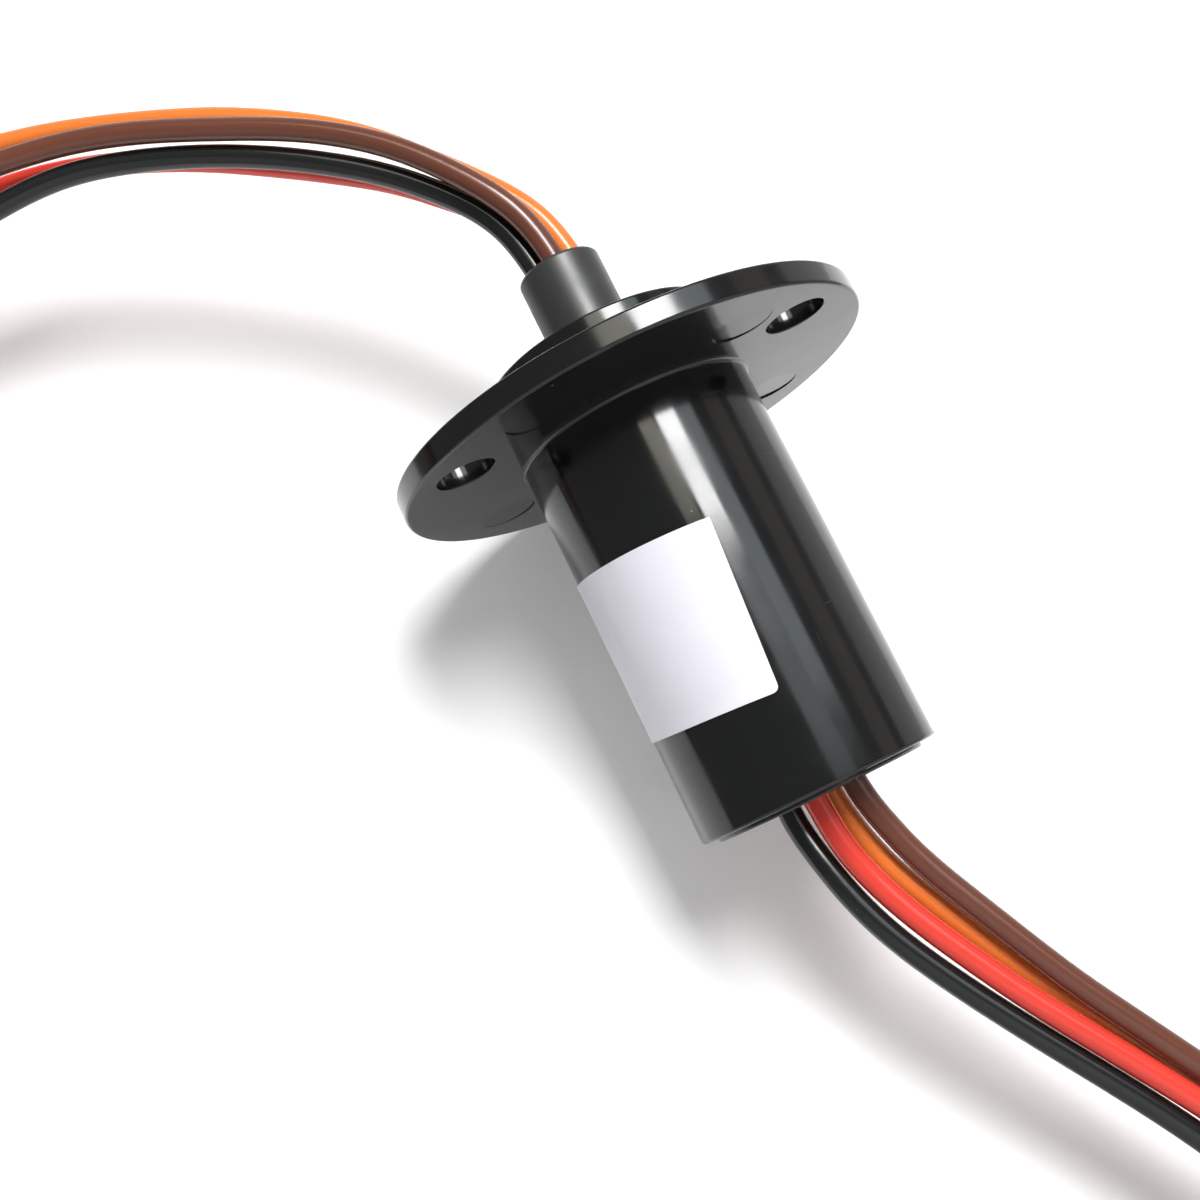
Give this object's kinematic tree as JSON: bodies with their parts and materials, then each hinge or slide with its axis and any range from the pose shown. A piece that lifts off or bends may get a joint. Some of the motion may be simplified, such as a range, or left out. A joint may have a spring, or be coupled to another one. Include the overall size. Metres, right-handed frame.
{
  "type": "slip ring",
  "caption": "Flanged capsule slip ring: a ball-borne tube with contact rings turns in a black housing, and coloured leads leave at both ends.",
  "frame": {"origin": "centre of the bolt circle, on the flange's face on the barrel's side", "axes": "+Z along the spin axis towards the rotor tube; +Y through one of the bolt holes; the rotor leads leave over the -X side"},
  "size_m": [0.1244, 0.0444, 0.2841],
  "materials": {
    "housing_plastic": "glossy moulded black plastic",
    "cap_plastic": "matt black plastic",
    "label_paper": "smooth white paper label, bare",
    "potting_resin": "black cast resin",
    "tube_plastic": "satin dark grey plastic",
    "contact_metal": "drawn gold alloy wire",
    "ring_gold": "gold plated and turned",
    "insulator_plastic": "natural plastic",
    "board_laminate": "green glass laminate",
    "race_steel": "ground bearing steel",
    "ball_steel": "polished bearing steel",
    "cage_brass": "moulded and bright",
    "spring_steel": "blued spring steel",
    "lead_black": "glossy PVC insulation",
    "lead_red": "glossy PVC insulation",
    "lead_orange": "glossy PVC insulation",
    "lead_brown": "glossy PVC insulation"
  },
  "bodies": {
    "stator": {"housing": "housing_plastic", "end_cap": "cap_plastic", "label": "label_paper", "rear_bearing_holder": "cap_plastic", "front_outer_race": "race_steel", "rear_outer_race": "race_steel", "brush_board_left": "board_laminate", "brush_board_right": "board_laminate", "brush_1": "contact_metal", "brush_2": "contact_metal", "brush_3": "contact_metal", "brush_4": "contact_metal", "outlet_potting": "potting_resin", "stator_lead_black": "lead_black", "stator_lead_red": "lead_red", "stator_lead_orange": "lead_orange", "stator_lead_brown": "lead_brown"},
    "rotor": {"rotor_tube": "tube_plastic", "ring_1": "ring_gold", "ring_2": "ring_gold", "ring_3": "ring_gold", "ring_4": "ring_gold", "insulator_1": "insulator_plastic", "insulator_2": "insulator_plastic", "insulator_3": "insulator_plastic", "insulator_4": "insulator_plastic", "insulator_5": "insulator_plastic", "stack_collar": "tube_plastic", "ring_tabs": "contact_metal", "front_inner_race": "race_steel", "rear_inner_race": "race_steel", "circlip": "spring_steel", "tube_potting": "potting_resin", "rotor_lead_black": "lead_black", "rotor_lead_red": "lead_red", "rotor_lead_orange": "lead_orange", "rotor_lead_brown": "lead_brown"},
    "front_cage": {"front_cage": "cage_brass", "front_balls": "ball_steel"},
    "rear_cage": {"rear_cage": "cage_brass", "rear_balls": "ball_steel"}
  },
  "joints": [
    {"name": "rotor_spin", "type": "hinge", "parent": "stator", "child": "rotor", "pos_m": [0, 0, 0], "axis": [0, 0, 1], "continuous": true},
    {"name": "front_cage_spin", "type": "hinge", "parent": "stator", "child": "front_cage", "pos_m": [0, 0, 0], "axis": [0, 0, 1], "continuous": true},
    {"name": "rear_cage_spin", "type": "hinge", "parent": "stator", "child": "rear_cage", "pos_m": [0, 0, 0], "axis": [0, 0, 1], "continuous": true}
  ],
  "couplings": [
    {"joint": "front_cage_spin", "follows": "rotor_spin", "ratio": 0.41667},
    {"joint": "rear_cage_spin", "follows": "rotor_spin", "ratio": 0.4}
  ]
}
